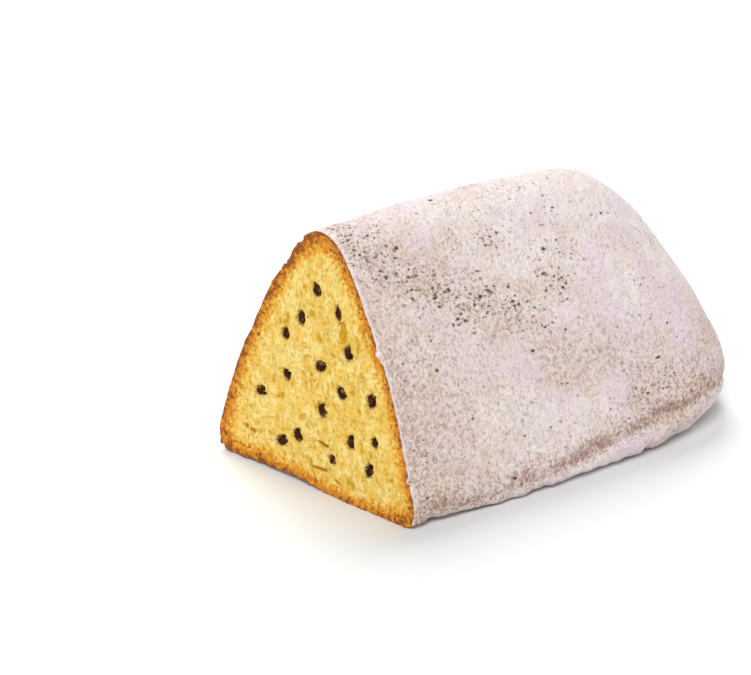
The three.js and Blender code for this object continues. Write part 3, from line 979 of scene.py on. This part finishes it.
def open_crumb(colours):
    """Egg-yellow crumb with upright streaks, painted shade that turns pores and hollows deeper yellow,
    painted shadow in small dark holes and at the bottom of tears, stained round the drops and browning
    towards a blistered edge."""
    finish = Finish("open_crumb")
    upright = finish.stretched((1.0, 1.0, 0.62))
    streaks = finish.noise(1.9 * MM, detail=3, roughness=0.62, place=upright)
    clouds = finish.noise(8 * MM, detail=2)
    fine = finish.noise(0.9 * MM, detail=2.5, roughness=0.65)

    # Yellow and pale streaks.
    tone = finish.math("MULTIPLY_ADD", streaks, 0.7, finish.math("MULTIPLY", clouds, 0.3))
    base = finish.mix(finish.band(tone, 0.43, 0.60), colours.crumb, colours.crumb_pale)

    # Small pores, and the painted ones: painted shade makes them deeper yellow all over, and painted shadow
    # makes them dark at the bottom of tears.
    # Painted shade: small pores scattered over the crumb, darkened towards the deeper yellow.
    distance, chance, _ = finish.cells(1.6 * MM, place=upright)
    chosen = finish.math("LESS_THAN", chance, 0.55)
    pore = finish.math("MULTIPLY", finish.band(distance, 0.14, 0.42, 1.0, 0.0), chosen)
    deep = finish.painted("deep")
    shade = finish.math("MULTIPLY_ADD", pore, 0.45, finish.band(deep, 0.12, 1.0, 0.0, 0.95))
    shade = finish.math("ADD", shade, finish.band(fine, 0.50, 0.66, 0.0, 0.60))
    base = finish.mix(finish.math("MINIMUM", shade, 0.95), base, colours.deep_crumb_and_pore_shade)
    # Painted shadow: small dark holes scattered through the crumb.
    distance, chance, width = finish.cells(1.25 * MM)
    chosen = finish.math("LESS_THAN", chance, 0.15)
    eye = finish.math("MULTIPLY", finish.band(distance, 0.12, 0.40, 1.0, 0.0), chosen)
    eye = finish.math("MULTIPLY", eye, finish.math("MULTIPLY_ADD", width, 0.42, 0.10))
    base = finish.mix(eye, base, colours.torn)
    # Painted shadow at the bottom of the deepest tears and hollows.
    base = finish.mix(finish.band(deep, 1.9, 2.5, 0.0, 0.85), base, colours.torn)

    # Browning towards the edge, with a ragged border and a dark blistered rim, and stains round the drops.
    mottle = finish.math("SUBTRACT", finish.noise(4 * MM, detail=3), 0.5)
    mottle = finish.math("MULTIPLY", mottle, 0.6)
    mottle = finish.math("MULTIPLY_ADD", finish.math("SUBTRACT", fine, 0.5), 2.3, mottle)
    baked = finish.painted("baked")
    share = finish.band(baked, 0.10, 0.40)
    baked = finish.math("MULTIPLY_ADD", mottle, share, baked)
    base = finish.mix(finish.band(baked, 0.20, 0.46, 0.0, 0.92), base, colours.rind_gold)
    base = finish.mix(finish.band(baked, 0.42, 0.80, 0.0, 0.95), base, colours.rind)
    blister = finish.noise(1.7 * MM, detail=3, roughness=0.7)
    charred = finish.math("MULTIPLY_ADD", finish.math("SUBTRACT", blister, 0.5), 3.4, baked)
    base = finish.mix(finish.band(charred, 0.82, 1.38, 0.0, 0.92), base, colours.rind_dark)
    base = finish.mix(finish.math("MULTIPLY", finish.painted("stain"), 0.6), base, colours.stain)

    finish.surface("Base Color", base)
    finish.surface("Roughness", finish.band(fine, 0.3, 0.7, 0.72, 0.9))
    finish.surface("Specular IOR Level", 0.25)
    finish.surface("Subsurface Weight", 0.12)
    finish.surface("Subsurface Radius", (1.0, 0.55, 0.2))
    finish.surface("Subsurface Scale", 1.5 * MM)
    finish.bump(finish.math("SUBTRACT", 1.0, fine), 0.7 * MM, 0.65)
    finish.bump(finish.math("SUBTRACT", 1.0, streaks), 1.1 * MM, 0.6)
    finish.bump(finish.math("SUBTRACT", 1.0, pore), 0.6 * MM, 0.6)
    return finish.material


def cut_chocolate(colours):
    """Dark chocolate, smeared paler where the knife dragged over it, with crumbs stuck to it."""
    finish = Finish("cut_chocolate")
    drag = finish.noise(1.3 * MM, detail=3, roughness=0.6, place=finish.stretched((1.0, 1.0, 1.6)))
    grit = finish.noise(0.8 * MM, detail=2)
    share = finish.math("MULTIPLY", finish.painted("smear"), finish.band(drag, 0.48, 0.72))
    base = finish.mix(share, colours.dark, colours.smear)
    crumbs = finish.math("MULTIPLY_ADD", finish.painted("smear"), -0.16, grit)
    base = finish.mix(finish.band(crumbs, 0.53, 0.61, 0.0, 0.75), base, colours.crumbs)
    finish.surface("Base Color", base)
    finish.surface("Roughness", finish.band(drag, 0.35, 0.65, 0.45, 0.7))
    finish.surface("Specular IOR Level", 0.06)
    finish.bump(grit, 0.4 * MM, 0.6)
    finish.bump(drag, 0.35 * MM, 0.6)
    return finish.material


def table_top(colours):
    """The table: matt and near white."""
    finish = Finish("table_top")
    finish.surface("Base Color", colours.table)
    finish.surface("Roughness", 0.9)
    finish.surface("Specular IOR Level", 0.1)
    return finish.material


# ---------- the studio ----------


def compass(azimuth, elevation):
    """The direction that an azimuth and an elevation look back from: azimuth 0 stands at -Y."""
    flat = math.cos(elevation)
    return Vector((math.sin(azimuth) * flat, -math.cos(azimuth) * flat, math.sin(elevation)))


def make_table(studio):
    """A wide flat table top, a hair below the height that the loaf rests on."""
    half = 6.0
    level = LOAF_BOX[0, 2] - 0.02 * MM
    corners = [(-half, -half, level), (half, -half, level), (half, half, level), (-half, half, level)]
    mesh = bpy.data.meshes.new("table")
    mesh.from_pydata(corners, [], [[0, 1, 2, 3]])
    table = bpy.data.objects.new("table", mesh)
    bpy.context.scene.collection.objects.link(table)
    mesh.materials.append(table_top(studio))
    return table


def light_studio(studio):
    """A dome that fades from the horizon upwards, and two broad lights, from the front and from behind."""
    world = bpy.data.worlds.new("studio")
    world.use_nodes = True
    tree = world.node_tree
    background = tree.nodes["Background"]
    background.inputs["Color"].default_value = (1, 1, 1, 1)
    heading = tree.nodes.new("ShaderNodeSeparateXYZ")
    fade = tree.nodes.new("ShaderNodeMapRange")
    fade.interpolation_type = "SMOOTHSTEP"
    fade.inputs["From Min"].default_value = 0.05
    fade.inputs["From Max"].default_value = 0.30
    fade.inputs["To Min"].default_value = studio.horizon
    fade.inputs["To Max"].default_value = studio.sky
    tree.links.new(tree.nodes.new("ShaderNodeTexCoord").outputs["Generated"], heading.inputs["Vector"])
    tree.links.new(heading.outputs["Z"], fade.inputs["Value"])
    tree.links.new(fade.outputs["Result"], background.inputs["Strength"])
    bpy.context.scene.world = world
    lights = (
        ("front_light", studio.front, studio.front_azimuth, studio.front_elevation),
        ("back_light", studio.back, studio.back_azimuth, studio.back_elevation),
    )
    for name, strength, azimuth, elevation in lights:
        light = bpy.data.objects.new(name, bpy.data.lights.new(name, "SUN"))
        light.data.energy = strength
        light.data.angle = studio.softness
        light.rotation_mode = "QUATERNION"
        light.rotation_quaternion = compass(azimuth, elevation).to_track_quat("Z", "Y")
        bpy.context.scene.collection.objects.link(light)


def place_camera(studio):
    """The camera looks at its aim from its azimuth, elevation and distance."""
    data = bpy.data.cameras.new("camera")
    data.lens = studio.camera_lens
    data.sensor_width = 36
    camera = bpy.data.objects.new("camera", data)
    back = compass(studio.camera_azimuth, studio.camera_elevation)
    camera.location = Vector(studio.camera_aim) + back * studio.camera_distance
    camera.rotation_mode = "QUATERNION"
    camera.rotation_quaternion = back.to_track_quat("Z", "Y")
    bpy.context.scene.collection.objects.link(camera)
    bpy.context.scene.camera = camera


# ---------- operators, panel and registration ----------


class PanettoneLoaf(bpy.types.Operator):
    """Bake the loaf: crust, slice and crumb"""

    bl_idname = "panettone.loaf"
    bl_label = "Loaf"

    def execute(self, context):
        """Makes the loaf with its two finishes."""
        scene = context.scene
        loaf = make_loaf(scene.panettone_shape)
        loaf.data.materials.append(sugared_crust(scene.panettone_crust))
        loaf.data.materials.append(open_crumb(scene.panettone_crumb))
        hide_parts("loaf")
        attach(loaf, "root")
        return {"FINISHED"}


class PanettoneDrops(bpy.types.Operator):
    """Set the chocolate drops in the slice"""

    bl_idname = "panettone.drops"
    bl_label = "Chocolate drops"

    def execute(self, context):
        """Makes each drop with its finish."""
        scene = context.scene
        shape = scene.panettone_shape
        shift = frame_shift(shape)
        chocolate = cut_chocolate(scene.panettone_chocolate)
        for number, drop in enumerate(drop_places(shape, shift), 1):
            piece = make_drop(drop, number, shape, shift)
            piece.data.materials.append(chocolate)
            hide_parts(drop["name"])
            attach(piece, "root")
        return {"FINISHED"}


class PanettoneStage(bpy.types.Operator):
    """Lay the table, light it and place the camera"""

    bl_idname = "panettone.stage"
    bl_label = "Studio"

    def execute(self, context):
        """Makes the table, the lights and the camera."""
        studio = context.scene.panettone_studio
        make_table(studio)
        light_studio(studio)
        place_camera(studio)
        context.scene.view_settings.view_transform = "Standard"
        return {"FINISHED"}


class PanettonePanel(bpy.types.Panel):
    """The panettone's operators and settings"""

    bl_idname = "VIEW3D_PT_panettone"
    bl_label = "Panettone"
    bl_space_type = "VIEW_3D"
    bl_region_type = "UI"
    bl_category = "Panettone"

    def draw(self, context):
        """Lists a button for each operator, then the settings group by group."""
        for operator in OPERATORS:
            self.layout.operator(operator.bl_idname)
        for name, group in SETTINGS.items():
            box = self.layout.box()
            box.label(text=group.__doc__)
            settings = getattr(context.scene, name)
            for key in group.__annotations__:
                box.prop(settings, key)


SETTINGS = {
    "panettone_shape": PanettoneShape,
    "panettone_crust": PanettoneCrust,
    "panettone_crumb": PanettoneCrumb,
    "panettone_chocolate": PanettoneChocolate,
    "panettone_studio": PanettoneStudio,
}
OPERATORS = (PanettoneLoaf, PanettoneDrops, PanettoneStage)


def register():
    """Adds the classes, and the groups of settings to every scene."""
    for group in (*SETTINGS.values(), *OPERATORS, PanettonePanel):
        bpy.utils.register_class(group)
    for name, group in SETTINGS.items():
        setattr(bpy.types.Scene, name, PointerProperty(type=group))


def unregister():
    """Takes both away again."""
    for name in SETTINGS:
        delattr(bpy.types.Scene, name)
    for group in (PanettonePanel, *reversed(OPERATORS), *SETTINGS.values()):
        bpy.utils.unregister_class(group)


def main():
    """Builds everything."""
    register()
    bpy.ops.panettone.loaf()
    bpy.ops.panettone.drops()
    bpy.ops.panettone.stage()


if __name__ == "__main__":
    main()
